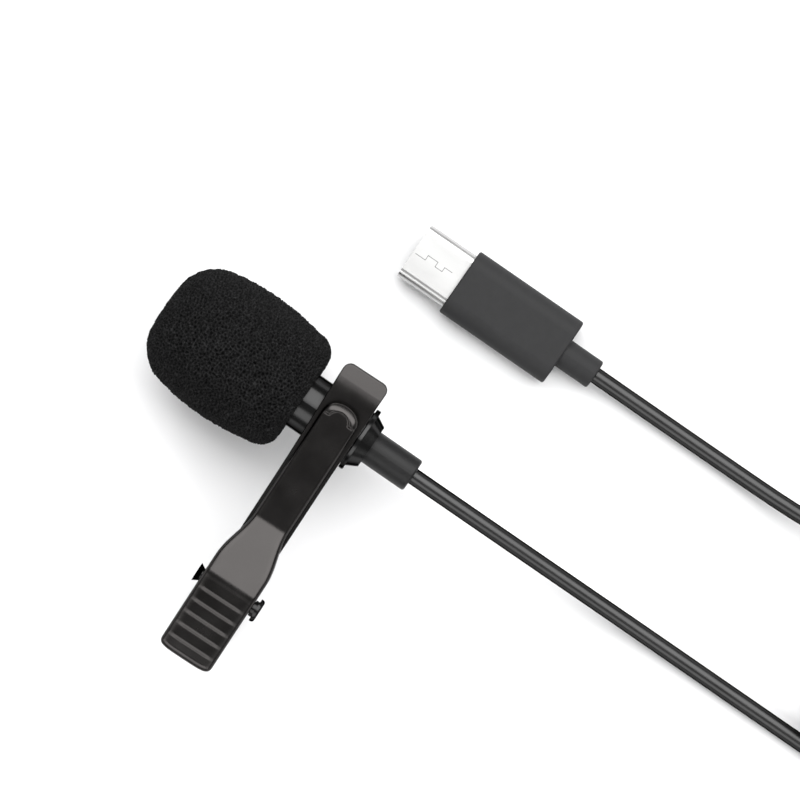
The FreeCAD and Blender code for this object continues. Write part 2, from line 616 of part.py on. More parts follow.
def make_coil_tie():
    """Flat band round the coil's section, on the side away from the microphone."""
    section_mid = (COIL_INNER_R + COIL_OUTER_R) / 2
    half = (COIL_OUTER_R - COIL_INNER_R) / 2
    x_mid = COIL_X + section_mid
    low = COIL_BOTTOM - TIE_THICK
    high = COIL_BOTTOM + COIL_HEIGHT + TIE_THICK
    outer = block(x_mid - half - TIE_THICK, x_mid + half + TIE_THICK,
                  COIL_Y - TIE_WIDTH / 2, COIL_Y + TIE_WIDTH / 2, low, high)
    inner = block(x_mid - half, x_mid + half, COIL_Y - TIE_WIDTH, COIL_Y + TIE_WIDTH,
                  COIL_BOTTOM, COIL_BOTTOM + COIL_HEIGHT)
    outer = outer.makeFillet(1.2, [e for e in outer.Edges if e.BoundBox.YLength > 1])
    inner = inner.makeFillet(0.8, [e for e in inner.Edges if e.BoundBox.YLength > 1])
    return outer.cut(inner)


def save_cord():
    """Both free stretches, the coil of the put-away length and its tie."""
    save("cord_mic_run", on_floor(cord_tube("mic run", MIC_RUN)))
    save("cord_plug_run", on_floor(cord_tube("plug run", PLUG_RUN)))
    save("cord_coil", on_floor(make_coil()))
    save("coil_tie", on_floor(make_coil_tie()))


os.makedirs("parts", exist_ok=True)
save_microphone()
save_clip()
save_plug()
save_cord()
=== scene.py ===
import json
import math
import random

import bmesh
import bpy
import numpy as np
from mathutils import Matrix, Vector
from mathutils.kdtree import KDTree


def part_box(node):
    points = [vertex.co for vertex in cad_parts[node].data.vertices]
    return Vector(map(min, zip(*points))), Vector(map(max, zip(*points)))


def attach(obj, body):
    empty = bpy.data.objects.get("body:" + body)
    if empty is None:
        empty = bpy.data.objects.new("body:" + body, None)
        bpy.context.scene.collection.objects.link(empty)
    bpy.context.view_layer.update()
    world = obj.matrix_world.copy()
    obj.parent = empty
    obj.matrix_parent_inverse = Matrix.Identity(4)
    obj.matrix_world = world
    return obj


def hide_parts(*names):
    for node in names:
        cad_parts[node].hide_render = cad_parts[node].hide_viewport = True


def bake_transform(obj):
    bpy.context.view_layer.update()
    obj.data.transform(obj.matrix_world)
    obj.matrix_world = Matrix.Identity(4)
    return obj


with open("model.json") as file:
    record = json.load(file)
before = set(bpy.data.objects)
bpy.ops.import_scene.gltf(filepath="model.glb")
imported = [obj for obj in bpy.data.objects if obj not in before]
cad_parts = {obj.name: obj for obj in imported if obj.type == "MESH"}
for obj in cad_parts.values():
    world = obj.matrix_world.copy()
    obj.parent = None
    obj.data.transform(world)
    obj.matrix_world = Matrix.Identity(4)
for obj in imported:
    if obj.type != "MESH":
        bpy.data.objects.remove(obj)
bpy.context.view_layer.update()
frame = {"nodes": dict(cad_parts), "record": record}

# Looks of a clip-on lavalier microphone, in the frame's own axes: +X from the foam to the cord,
# +Y along the clip towards its tab, +Z up, floor at z = 0. The frame is in metres; the sizes of
# the parts below are in millimetres, times MM where they are used.
MM = 0.001
nodes = frame["nodes"]
joints = {joint["name"]: joint for joint in frame["record"]["behaviour"]["joints"]}

AXIS = Vector(joints["holder_turn"]["pos_m"])            # where clip and microphone cross
CLIP_ACROSS = Vector(joints["clip_open"]["axis"]).normalized()
CLIP_UP = Vector(joints["clip_swivel"]["axis"]).normalized()
CLIP_ALONG = CLIP_UP.cross(CLIP_ACROSS)
CLIP_TURN = Matrix((CLIP_ACROSS, CLIP_ALONG, CLIP_UP)).transposed().to_4x4()
CLIP_FRAME = Matrix.Translation(AXIS) @ CLIP_TURN
PIN_AT = CLIP_FRAME.inverted() @ Vector(joints["clip_open"]["pos_m"])
MIC_FRAME = Matrix.Translation(AXIS)


# ---- helpers ------------------------------------------------------------------------------------
def mesh_object(name, verts, faces, smooth=True):
    """A mesh object from points and faces, with outward normals."""
    mesh = bpy.data.meshes.new(name)
    mesh.from_pydata([tuple(v) for v in verts], [], faces)
    mesh.update()
    shape = bmesh.new()
    shape.from_mesh(mesh)
    bmesh.ops.remove_doubles(shape, verts=shape.verts, dist=1e-7)
    bmesh.ops.dissolve_degenerate(shape, edges=shape.edges, dist=1e-8)
    bmesh.ops.recalc_face_normals(shape, faces=shape.faces)
    shape.to_mesh(mesh)
    shape.free()
    if smooth:
        mesh.shade_smooth()
    piece = bpy.data.objects.new(name, mesh)
    bpy.context.scene.collection.objects.link(piece)
    return piece


def ring_faces(rows, columns):
    """Quads of a grid of rows, each row a closed ring of columns."""
    faces = []
    for i in range(rows - 1):
        for j in range(columns):
            a = i * columns + j
            b = i * columns + (j + 1) % columns
            faces.append((a, b, b + columns, a + columns))
    return faces


def smoothstep(low, high, value):
    """0 at low, 1 at high and level at both; low may be the larger one."""
    t = min(1.0, max(0.0, (value - low) / (high - low)))
    return t * t * (3 - 2 * t)


def rounded_line(knots, value, reach):
    """A broken line through knots, its corners rounded over reach on either side."""
    total = 0.0
    samples = 9
    for i in range(samples):
        at = value + reach * (2 * i / (samples - 1) - 1)
        total += np.interp(at, [k[0] for k in knots], [k[1] for k in knots])
    return total / samples


def finish_piece(piece, body, material):
    """Material, body and slot of a new piece."""
    piece.data.materials.clear()
    piece.data.materials.append(material)
    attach(piece, body)


# ---- camera -------------------------------------------------------------------------------------
VIEW_CENTRE = (AXIS.x + 5.07 * MM, AXIS.y + 7.35 * MM)
VIEW_WIDTH = 107.2 * MM
VIEW_ROLL = 34.65
LENS = 200.0
SENSOR = 36.0
FOCUS_HEIGHT = 6.0 * MM

camera_data = bpy.data.cameras.new("camera")
camera_data.lens = LENS
camera_data.sensor_width = SENSOR
camera_data.clip_start = 0.01
camera_data.dof.use_dof = False
camera = bpy.data.objects.new("camera", camera_data)
camera.location = (*VIEW_CENTRE, FOCUS_HEIGHT + VIEW_WIDTH * LENS / SENSOR)
camera.rotation_euler = (0, 0, math.radians(VIEW_ROLL))
bpy.context.scene.collection.objects.link(camera)
bpy.context.scene.camera = camera


# ---- materials ----------------------------------------------------------------------------------
NOISE_LOW, NOISE_HIGH = 0.3, 0.7     # part of a noise's range that carries its tone and roughness
PATCH_SIZE = 14                      # broad patches, in grains


def surface(name, base, roughness, metallic=0.0, grain=0.2, depth=0.004, tone=0.15, swing=0.06,
            specular=0.5, edge_tint=1.0, stretch=(1, 1, 1)):
    """A Principled material with a fine grain: tone varies the colour, swing the roughness and
    depth (mm) is the height of the grain, whose size (mm) is grain."""
    made = bpy.data.materials.new(name)
    made.use_nodes = True
    tree = made.node_tree
    tree.nodes.clear()
    out = tree.nodes.new("ShaderNodeOutputMaterial")
    shader = tree.nodes.new("ShaderNodeBsdfPrincipled")
    where = tree.nodes.new("ShaderNodeTexCoord")
    scale = tree.nodes.new("ShaderNodeMapping")
    scale.inputs["Scale"].default_value = stretch
    fine = tree.nodes.new("ShaderNodeTexNoise")
    fine.inputs["Scale"].default_value = 1 / (grain * MM)
    fine.inputs["Detail"].default_value = 3.0
    broad = tree.nodes.new("ShaderNodeTexNoise")
    broad.inputs["Scale"].default_value = 1 / (grain * PATCH_SIZE * MM)
    broad.inputs["Detail"].default_value = 4.0
    ramp = tree.nodes.new("ShaderNodeValToRGB")
    ramp.color_ramp.elements[0].position = NOISE_LOW
    ramp.color_ramp.elements[1].position = NOISE_HIGH
    ramp.color_ramp.elements[0].color = (*[c * (1 - tone) for c in base], 1)
    ramp.color_ramp.elements[1].color = (*[min(1, c * (1 + tone)) for c in base], 1)
    rough = tree.nodes.new("ShaderNodeMapRange")
    rough.inputs["From Min"].default_value = NOISE_LOW
    rough.inputs["From Max"].default_value = NOISE_HIGH
    rough.inputs["To Min"].default_value = max(0.02, roughness - swing)
    rough.inputs["To Max"].default_value = min(1.0, roughness + swing)
    bump = tree.nodes.new("ShaderNodeBump")
    bump.inputs["Strength"].default_value = 1.0
    bump.inputs["Distance"].default_value = depth * MM
    shader.inputs["Metallic"].default_value = metallic
    shader.inputs["Specular IOR Level"].default_value = specular
    shader.inputs["Specular Tint"].default_value = (edge_tint, edge_tint, edge_tint, 1)
    link = tree.links.new
    link(where.outputs["Object"], scale.inputs["Vector"])
    link(scale.outputs["Vector"], fine.inputs["Vector"])
    link(scale.outputs["Vector"], broad.inputs["Vector"])
    link(broad.outputs["Fac"], ramp.inputs["Fac"])
    link(ramp.outputs["Color"], shader.inputs["Base Color"])
    link(broad.outputs["Fac"], rough.inputs["Value"])
    link(rough.outputs["Result"], shader.inputs["Roughness"])
    link(fine.outputs["Fac"], bump.inputs["Height"])
    link(bump.outputs["Normal"], shader.inputs["Normal"])
    link(shader.outputs["BSDF"], out.inputs["Surface"])
    return made


FOAM_CELL = 0.28            # size of the drawn cells, mm: lighter at their walls, with painted shade in their middles
FOAM_GLINT_PATCH = 0.5            # size of the patches that paint glints on the struts, mm
FOAM_BUMP = 0.12            # height of the drawn cell walls, mm
# the pore colour is painted shade; the strut colour is the foam's own, made lighter for painted
# glints
FOAM_PORE_SHADE = (0.002, 0.002, 0.002, 1)
FOAM_STRUT = (0.033, 0.033, 0.0336, 1)


def foam_surface():
    """Dyed open-cell foam with painted light: painted shade darkens the pores under lighter struts,
    read from the mesh's strut attribute, and noise patches paint glints on the struts.
    """
    made = surface("foam", (0.02, 0.02, 0.021), 0.85, grain=0.12, depth=0.03, tone=0.3,
                   specular=0.12)
    tree = made.node_tree
    shader = tree.nodes["Principled BSDF"]
    pore = tree.nodes.new("ShaderNodeAttribute")
    pore.attribute_name = "strut"
    cells = tree.nodes.new("ShaderNodeTexVoronoi")
    cells.feature = "DISTANCE_TO_EDGE"
    cells.inputs["Scale"].default_value = 1 / (FOAM_CELL * MM)
    where = tree.nodes["Texture Coordinate"]
    skeleton = tree.nodes.new("ShaderNodeMapRange")
    skeleton.inputs["From Min"].default_value = 0.03
    skeleton.inputs["From Max"].default_value = 0.3
    skeleton.inputs["To Min"].default_value = 1.0
    skeleton.inputs["To Max"].default_value = 0.0
    both = tree.nodes.new("ShaderNodeMath")
    both.operation = "MULTIPLY"
    ramp = tree.nodes.new("ShaderNodeValToRGB")
    ramp.color_ramp.elements[0].color = FOAM_PORE_SHADE
    ramp.color_ramp.elements[1].color = FOAM_STRUT
    # mixes the painted pore shade and the painted strut glints into the base colour
    glint_and_pore_shade = tree.nodes.new("ShaderNodeMath")
    glint_and_pore_shade.operation = "MULTIPLY"
    # noise patches that paint glints on the struts
    patches = tree.nodes["Color Ramp"]
    patches.color_ramp.elements[0].color = (0.25, 0.25, 0.25, 1)
    patches.color_ramp.elements[1].color = (1, 1, 1, 1)
    tree.nodes["Noise Texture.001"].inputs["Scale"].default_value = 1 / (FOAM_GLINT_PATCH * MM)
    bump = tree.nodes["Bump"]
    bump.inputs["Distance"].default_value = FOAM_BUMP * MM
    link = tree.links.new
    link(where.outputs["Object"], cells.inputs["Vector"])
    link(cells.outputs["Distance"], skeleton.inputs["Value"])
    link(skeleton.outputs["Result"], both.inputs[0])
    link(pore.outputs["Fac"], both.inputs[1])
    link(both.outputs["Value"], glint_and_pore_shade.inputs[0])
    link(patches.outputs["Color"], glint_and_pore_shade.inputs[1])
    link(glint_and_pore_shade.outputs["Value"], ramp.inputs["Fac"])
    link(ramp.outputs["Color"], shader.inputs["Base Color"])
    link(skeleton.outputs["Result"], bump.inputs["Height"])
    return made


MATERIALS = {
    "foam": foam_surface(),
    "barrel_metal": surface("barrel_metal", (0.036, 0.036, 0.036), 0.22, metallic=1.0, grain=0.4,
                            depth=0.001, tone=0.06, swing=0.03, edge_tint=0.3),
    "clip_metal": surface("clip_metal", (0.047, 0.0445, 0.0435), 0.25, metallic=1.0, grain=0.3,
                          depth=0.0012, tone=0.08, swing=0.03, edge_tint=0.45),
    "pin_metal": surface("pin_metal", (0.03, 0.03, 0.03), 0.22, metallic=1.0, grain=0.2,
                         depth=0.001, edge_tint=0.1),
    "spring_steel": surface("spring_steel", (0.5, 0.5, 0.5), 0.28, metallic=1.0, grain=0.06,
                            depth=0.001),
    "boot_rubber": surface("boot_rubber", (0.003, 0.003, 0.0031), 0.46, grain=0.16, depth=0.03,
                           tone=0.25, specular=0.3),
    "cord_jacket": surface("cord_jacket", (0.05, 0.05, 0.05), 0.33, metallic=1.0, grain=0.3,
                           depth=0.002, tone=0.06, swing=0.02, edge_tint=0.0),
    "plug_plastic": surface("plug_plastic", (0.02, 0.02, 0.0206), 0.62, grain=0.08, depth=0.004,
                            tone=0.08, swing=0.03, specular=0.2),
    "shell_nickel": surface("shell_nickel", (0.52, 0.52, 0.516), 0.33, metallic=1.0, grain=0.15,
                            depth=0.0006, tone=0.03, swing=0.04, stretch=(0.2, 1, 1)),
    "seam_shadow": surface("seam_shadow", (0.14, 0.14, 0.14), 0.5, metallic=1.0, grain=0.1),
    "liner_plastic": surface("liner_plastic", (0.015, 0.015, 0.015), 0.5, grain=0.1),
    "gold": surface("gold", (0.9, 0.62, 0.25), 0.22, metallic=1.0, grain=0.05, depth=0.0005,
                    tone=0.05),
    "aluminium": surface("aluminium", (0.75, 0.75, 0.76), 0.3, metallic=1.0, grain=0.1, depth=0.001,
                         stretch=(0.1, 1, 1)),
    "steel_mesh": surface("steel_mesh", (0.2, 0.2, 0.2), 0.35, metallic=1.0, grain=0.1),
    "gauze_cloth": surface("gauze_cloth", (0.03, 0.03, 0.03), 0.9, grain=0.08, depth=0.02),
    "film": surface("film", (0.55, 0.42, 0.2), 0.3, grain=0.2),
    "board": surface("board", (0.02, 0.16, 0.06), 0.35, grain=0.15, depth=0.002),
    "chip": surface("chip", (0.02, 0.02, 0.02), 0.55, grain=0.05, depth=0.002),
    "solder": surface("solder", (0.62, 0.62, 0.64), 0.3, metallic=1.0, grain=0.2, depth=0.004),
    "wire_red": surface("wire_red", (0.4, 0.02, 0.015), 0.4, grain=0.2),
    "wire_bare": surface("wire_bare", (0.75, 0.35, 0.18), 0.3, metallic=1.0, grain=0.05,
                         stretch=(0.1, 1, 1)),
    "tie_strap": surface("tie_strap", (0.012, 0.012, 0.0125), 0.85, grain=0.18, depth=0.05,
                         tone=0.3, specular=0.2, stretch=(1, 0.4, 1)),
}

for entry in frame["record"]["subparts"]:
    for material_slot in nodes[entry["node"]].material_slots:
        material_slot.material = MATERIALS[entry["material_slot"]]


# ---- cord ---------------------------------------------------------------------------------------
CORD_D = 2.3
COIL_X = 89.0
COIL_Y = 17.25
COIL_BOTTOM = 0.45
COIL_MEAN_R = 12.6
COIL_LAYERS = (5, 5, 4, 4)      # turns side by side in each layer, from the floor up
COIL_IN_DEG = 270.0
COIL_OUT_DEG = 125.0
POINTS_PER_TURN = 16
CROSSOVER = 50.0                # degrees either side of 0 in which a turn moves to its next place

# The route in millimetres from the point where clip and microphone cross, heights from the floor.
MIC_RUN = [
    (12.25, 0.0, 9.5),
    (21.0, 0.0, 9.2),
    (34.0, 0.0, 5.4),
    (50.0, 0.0, 1.75),
    (72.0, 0.0, 1.2),
]
PLUG_RUN = [
    (71.5, 26.7, 7.0),
    (60.5, 25.1, 3.6),
    (43.0, 25.07, 1.2),
    (24.8, 25.07, 2.4),
]


def coil_places():
    """Radius and height of each turn: out to in on the floor, back out on top, and so on."""
    places = []
    for layer, columns in enumerate(COIL_LAYERS):
        order = range(columns) if layer % 2 == 0 else range(columns - 1, -1, -1)
        for column in order:
            radius = COIL_MEAN_R + CORD_D * ((COIL_LAYERS[0] - 1) / 2 - column)
            places.append((radius, COIL_BOTTOM + CORD_D * (layer + 0.5)))
    return places


def coil_points():
    """Control points of the coil, from the mic run's end to the plug run's start."""
    places = coil_places()
    # a quadratic spline passes inside its control points, so these lie a little further out
    widen = 1 / (0.75 + 0.25 * math.cos(2 * math.pi / POINTS_PER_TURN))
    total = COIL_OUT_DEG + 360.0 * (len(places) - 1) - COIL_IN_DEG
    count = round(total / 360 * POINTS_PER_TURN)
    points = []
    for i in range(count + 1):
        angle = COIL_IN_DEG + total * i / count
        turn = min(len(places) - 1, max(1, round(angle / 360)))
        share = smoothstep(360 * turn - CROSSOVER, 360 * turn + CROSSOVER, angle)
        radius = places[turn - 1][0] * (1 - share) + places[turn][0] * share
        height = places[turn - 1][1] * (1 - share) + places[turn][1] * share
        swell = widen if 0 < i < count else 1.0
        points.append((COIL_X + radius * swell * math.cos(math.radians(angle)),
                       COIL_Y + radius * swell * math.sin(math.radians(angle)), height))
    return points


def make_cord():
    """The whole cord as one smooth spline from the boot through the coil to the plug."""
    route = MIC_RUN + coil_points() + PLUG_RUN
    curve = bpy.data.curves.new("cord", "CURVE")
    curve.dimensions = "3D"
    curve.bevel_depth = CORD_D / 2 * MM
    curve.bevel_resolution = 5
    curve.use_fill_caps = True
    spline = curve.splines.new("NURBS")
    spline.points.add(len(route) - 1)
    for point, place in zip(spline.points, route):
        point.co = (AXIS.x + place[0] * MM, AXIS.y + place[1] * MM, place[2] * MM, 1)
    spline.order_u = 3
    spline.use_endpoint_u = True
    spline.resolution_u = 6
    cord = bpy.data.objects.new("cord", curve)
    bpy.context.scene.collection.objects.link(cord)
    return cord


cord = make_cord()
finish_piece(cord, "microphone", MATERIALS["cord_jacket"])
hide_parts("cord_mic_run", "cord_coil", "cord_plug_run")


# ---- foam windscreen ----------------------------------------------------------------------------
PORE_GAP = 0.37 * MM       # least distance between two pores' centres
PORE_TRIES = 36000
PORE_DEPTH = 0.36 * MM
FOAM_SEED = 7
FOAM_AROUND = 330
STRUT_WIDTH = 0.8          # lead of the nearest pore over the next where a strut ends, in gaps
FOAM_BORE_R = 4.13
FOAM_BORE_DEPTH = 15.2
PORE_LEAST, PORE_SPREAD = 0.5, 0.8    # shares of PORE_DEPTH: the shallowest pore, and the range
PORE_SINK = 0.5            # how far a deep pore takes its surroundings down, struts included
INNER_PORES = 0.25         # share of the pore depth inside the bore
CLOSED_R = 0.02            # radius of the closed ends


def arc_points(start, middle, end, count):
    """Points of the arc through three places in a plane, the first one left out."""
    (ax, ay), (bx, by), (cx, cy) = start, middle, end
    d = 2 * (ax * (by - cy) + bx * (cy - ay) + cx * (ay - by))
    aa, bb, cc = ax**2 + ay**2, bx**2 + by**2, cx**2 + cy**2
    ux = (aa * (by - cy) + bb * (cy - ay) + cc * (ay - by)) / d
    uy = (aa * (cx - bx) + bb * (ax - cx) + cc * (bx - ax)) / d
    radius = math.hypot(ax - ux, ay - uy)
    first = math.atan2(ay - uy, ax - ux)
    sweep = (math.atan2(cy - uy, cx - ux) - first + math.pi) % (2 * math.pi) - math.pi
    turns = [first + sweep * i / count for i in range(1, count + 1)]
    return [(ux + radius * math.cos(turn), uy + radius * math.sin(turn)) for turn in turns]


def line_points(start, end, count):
    """Points of a straight line in a plane, the first one left out."""
    return [tuple(a + (b - a) * i / count for a, b in zip(start, end)) for i in range(1, count + 1)]


def foam_profile():
    """Half section of the foam, (along, radius) in mm, and the number of its points outside.
    The last number of each stretch is its count of points, about eight per mm outside."""
    low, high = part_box("foam_windscreen")
    front = (low[0] - AXIS.x) / MM
    rear = (high[0] - AXIS.x) / MM
    widest = (high[2] - low[2]) / 2 / MM
    bore_end = rear - FOAM_BORE_DEPTH
    tip, round_front = (front, 3.6), (front + 1.5, 6.85)
    shoulder, belly = (front + 4.8, widest - 0.7), (-16.6, widest)
    waist, round_rear = (-8.6, widest - 0.8), (-6.35, 7.8)
    rear_edge, mouth = (rear, 6.3), (rear, FOAM_BORE_R)
    profile = [(front, CLOSED_R)]
    profile += line_points((front, CLOSED_R), tip, 28)
    profile += arc_points(tip, round_front, shoulder, 60)
    profile += arc_points(shoulder, belly, waist, 116)
    profile += arc_points(waist, round_rear, rear_edge, 40)
    profile += line_points(rear_edge, mouth, 20)
    outside = len(profile)
    profile += line_points(mouth, (bore_end, FOAM_BORE_R), 24)
    profile += line_points((bore_end, FOAM_BORE_R), (bore_end, CLOSED_R), 6)
    return profile, outside


def pore_centres(flat, area, spread):
    """Random places on the skin, no two of them nearer than PORE_GAP."""
    rows = spread.choices(range(len(flat)), weights=area, k=PORE_TRIES)
    taken = {}
    centres = []
    for row in rows:
        angle = spread.uniform(0, 2 * math.pi)
        radius = flat[row, 1]
        place = Vector((flat[row, 0], radius * math.cos(angle), radius * math.sin(angle)))
        cell = tuple(int(c // PORE_GAP) for c in place)
        beside = [taken.get((cell[0] + i, cell[1] + j, cell[2] + k), ())
                  for i in (-1, 0, 1) for j in (-1, 0, 1) for k in (-1, 0, 1)]
        if all((place - other).length > PORE_GAP for group in beside for other in group):
            taken.setdefault(cell, []).append(place)
            centres.append(place)
    return centres


def make_foam():
    """Revolved skin with open pores pressed into it: struts stand where two pores meet."""
    profile, outside = foam_profile()
    flat = np.array(profile) * MM
    slope = np.gradient(flat, axis=0)
    normal = np.stack([-slope[:, 1], slope[:, 0]], axis=1)
    normal /= np.linalg.norm(normal, axis=1)[:, None]
    turn = np.arange(FOAM_AROUND) * 2 * math.pi / FOAM_AROUND
    ring = np.stack([np.zeros(FOAM_AROUND), np.cos(turn), np.sin(turn)], axis=1)
    along = np.array([1, 0, 0])
    points = flat[:, None, 0:1] * along + flat[:, None, 1:2] * ring[None]
    outward = normal[:, None, 0:1] * along + normal[:, None, 1:2] * ring[None]
    spread = random.Random(FOAM_SEED)
    area = np.linalg.norm(slope, axis=1) * flat[:, 1]
    centres = pore_centres(flat, area, spread)
    tree = KDTree(len(centres))
    for i, place in enumerate(centres):
        tree.insert(place, i)
    sunk = [spread.random() for place in centres]
    tree.balance()
    strut = np.zeros(points.shape[:2])
    depth = np.zeros(points.shape[:2])
    for i in range(points.shape[0]):
        for j in range(FOAM_AROUND):
            near = tree.find_n(points[i, j], 2)
            gap = (near[1][2] - near[0][2]) / PORE_GAP
            strut[i, j] = 1 - smoothstep(0.0, STRUT_WIDTH, gap)
            sink = sunk[near[0][1]]
            pore = PORE_LEAST + PORE_SPREAD * sink
            depth[i, j] = (1 - strut[i, j]) * pore + PORE_SINK * sink
    edge = np.ones(len(profile))
    edge[outside:] = INNER_PORES
    points -= outward * (depth * edge[:, None] * PORE_DEPTH)[:, :, None]
    faces = ring_faces(len(profile), FOAM_AROUND)
    foam = mesh_object("foam", points.reshape(-1, 3), faces)
    # the strut mask tells the material where to paint pore shade and where to paint lighter struts
    values = foam.data.attributes.new("strut", "FLOAT", "POINT")
    values.data.foreach_set("value", strut.reshape(-1).astype(np.float32))
    foam.data.transform(MIC_FRAME)
    return foam


foam = make_foam()
finish_piece(foam, "windscreen", MATERIALS["foam"])
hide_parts("foam_windscreen")


# ---- front lever --------------------------------------------------------------------------------
# Millimetres in the clip's own frame: u across, v along towards the nose, w up from the axis.
LEVER_HALF = 3.93
NOSE_HALF = 2.62
NOSE_TIP = 3.8
NOSE_ROUND = 2.5
PAD_END = -36.2
PAD_ROUND = 1.7
NOSE_POWERS = (0.85, 0.95)      # of the nose's round outline, across and along
PAD_POWER = 0.42                # squares the pad's corners
ARM_END = -14.9
FLARE_END = -22.0
LEVER_SHEET = 0.55
EDGE_R = 0.8
NOSE_STEPS, SIDE_STEPS, PAD_STEPS = 40, 400, 30
# (v, w) of the outside's and the edge's broken lines
TOP = [(PAD_END, 10.26), (-24.2, 10.5), (-14.8, 7.7), (2.6, 7.3), (NOSE_TIP, 6.85)]
BOTTOM = [(PAD_END, 8.8), (-28.2, 8.5), (-26.75, 5.45), (-24.2, 5.45), (-21.6, 6.7), (1.4, 6.35),
          (2.2, 5.72), (NOSE_TIP, 5.72)]
TOP_REACH, BOTTOM_REACH = 0.35, 0.4
CROWN = 0.05               # how far the outside falls towards its edges
ROOF, ROOF_EDGE, ROOF_SLOPE = 5.95, 1.2, 2.0    # the nose's floor: its w, where it ends, its rise
RIDGE_FIRST = -26.0
RIDGE_PITCH = 1.88
RIDGE_COUNT = 5
RIDGE_HEIGHT = 0.13
RIDGE_HALF = 3.4
RIDGE_FADE = 1.1
RIDGE_CREST, RIDGE_RISE, RIDGE_FALL = -0.1, 0.6, 0.27     # shares of the pitch
RIM_HEIGHT = 0.3
RIM_START, RIM_CREST = 0.53, 0.6      # shares of the way from the nose's middle to its edge
RIM_FROM = (1.35, 1.75)               # v over which the rim begins
# steps of a section: across the top, down the edge's rounding, down and up the wall, back inside
ACROSS = [i / 12 for i in range(13)]
ROUNDING = [0.36, 0.25, 0.16, 0.08, 0.03, 0.0]      # mm in from the edge
WALL_OUT = (0.33, 0.66, 0.95)
WALL_IN = (0.05, 0.5, 1.0)
CEILING = (0.75, 0.5, 0.25, 0.0)
BEVEL = 0.08


def lever_outline():
    """Right-hand edge of the lever in plan, (u, v), from the nose's tip to the pad's end."""
    line = []
    for i in range(NOSE_STEPS):
        turn = math.pi / 2 * i / NOSE_STEPS
        line.append((NOSE_HALF * math.sin(turn) ** NOSE_POWERS[0],
                     NOSE_TIP - NOSE_ROUND * (1 - math.cos(turn) ** NOSE_POWERS[1])))
    start = NOSE_TIP - NOSE_ROUND
    end = PAD_END + PAD_ROUND
    for i in range(SIDE_STEPS + 1):
        v = start + (end - start) * i / SIDE_STEPS
        flare = smoothstep(ARM_END, FLARE_END, v) if v < ARM_END else 0.0
        line.append((NOSE_HALF + (LEVER_HALF - NOSE_HALF) * flare, v))
    for i in range(1, PAD_STEPS + 1):
        turn = math.pi / 2 * i / PAD_STEPS
        line.append((LEVER_HALF * math.cos(turn) ** PAD_POWER if i < PAD_STEPS else 0.0,
                     end - PAD_ROUND * math.sin(turn) ** PAD_POWER))
    return line


def lever_top(u, v):
    """Height of the pressing's outside: arm, shoulder, ridged pad and the nose's raised rim."""
    height = rounded_line(TOP, v, TOP_REACH)
    height -= CROWN * (u / LEVER_HALF) ** 2
    for i in range(RIDGE_COUNT):
        away = (v - (RIDGE_FIRST - RIDGE_PITCH * i)) / RIDGE_PITCH
        if -0.5 < away < 0.5:
            fade = 1 - smoothstep(RIDGE_HALF - RIDGE_FADE, RIDGE_HALF, abs(u))
            rise = (0.5 - away) / RIDGE_RISE
            fall = 1 - (max(0.0, RIDGE_CREST - away) / RIDGE_FALL) ** 2
            lobe = max(0.0, min(rise, fall))
            height += RIDGE_HEIGHT * lobe * fade
    if v > 0.0:
        reach = math.hypot(u / NOSE_HALF, max(0.0, v - (NOSE_TIP - NOSE_ROUND)) / NOSE_ROUND)
        rim = smoothstep(RIM_START, RIM_CREST, reach) * (1 - max(0.0, reach - RIM_CREST))
        height += RIM_HEIGHT * (rim * smoothstep(*RIM_FROM, v))
    return height


def lever_under(v):
    """Height of the pressing's inside."""
    clearance = ROOF + max(0.0, ROOF_EDGE - v) * ROOF_SLOPE
    return min(rounded_line(TOP, v, TOP_REACH) - LEVER_SHEET, clearance)


def make_front_lever():
    """Rings round the lever's section, one for each place along its outline."""
    line = lever_outline()
    verts = []
    for i, (u, v) in enumerate(line):
        before = line[max(0, i - 1)]
        after = line[min(len(line) - 1, i + 1)]
        along = Vector((after[0] - before[0], after[1] - before[1])).normalized()
        out = Vector((-along.y, along.x))
        if i == 0:
            out = Vector((0, 1))
        if i == len(line) - 1:
            out = Vector((0, -1))
        if out.x < 0:
            out = -out
        inner_u, inner_v = max(0.0, u - out.x * EDGE_R), v - out.y * EDGE_R
        wall_u, wall_v = max(0.0, u - out.x * LEVER_SHEET), v - out.y * LEVER_SHEET
        low = rounded_line(BOTTOM, v, BOTTOM_REACH)
        half = [(inner_u * f, inner_v, lever_top(inner_u * f, inner_v)) for f in ACROSS]
        for d in ROUNDING:
            drop = EDGE_R - math.sqrt(max(0.0, EDGE_R**2 - (EDGE_R - d) ** 2))
            pu, pv = max(0.0, u - out.x * d), v - out.y * d
            half.append((pu, pv, lever_top(pu, pv) - drop))
        top = lever_top(u, v) - EDGE_R
        for f in WALL_OUT:
            half.append((u, v, top + (low - top) * f))
        for d in (BEVEL, LEVER_SHEET - BEVEL):
            half.append((max(0.0, u - out.x * d), v - out.y * d, low))
        ceiling = max(low + 0.05, lever_under(wall_v))
        for f in WALL_IN:
            half.append((wall_u, wall_v, low + (ceiling - low) * f))
        for f in CEILING:
            half.append((wall_u * f, wall_v, ceiling))
        ring = half + [(-p[0], p[1], p[2]) for p in reversed(half)]
        verts.extend(ring)
    faces = ring_faces(len(line), len(ring))
    lever = mesh_object("front_lever_skin", [Vector(v) * MM for v in verts], faces)
    lever.data.transform(CLIP_FRAME)
    return lever


front_lever = make_front_lever()
finish_piece(front_lever, "clip_front", MATERIALS["clip_metal"])
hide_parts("front_lever")


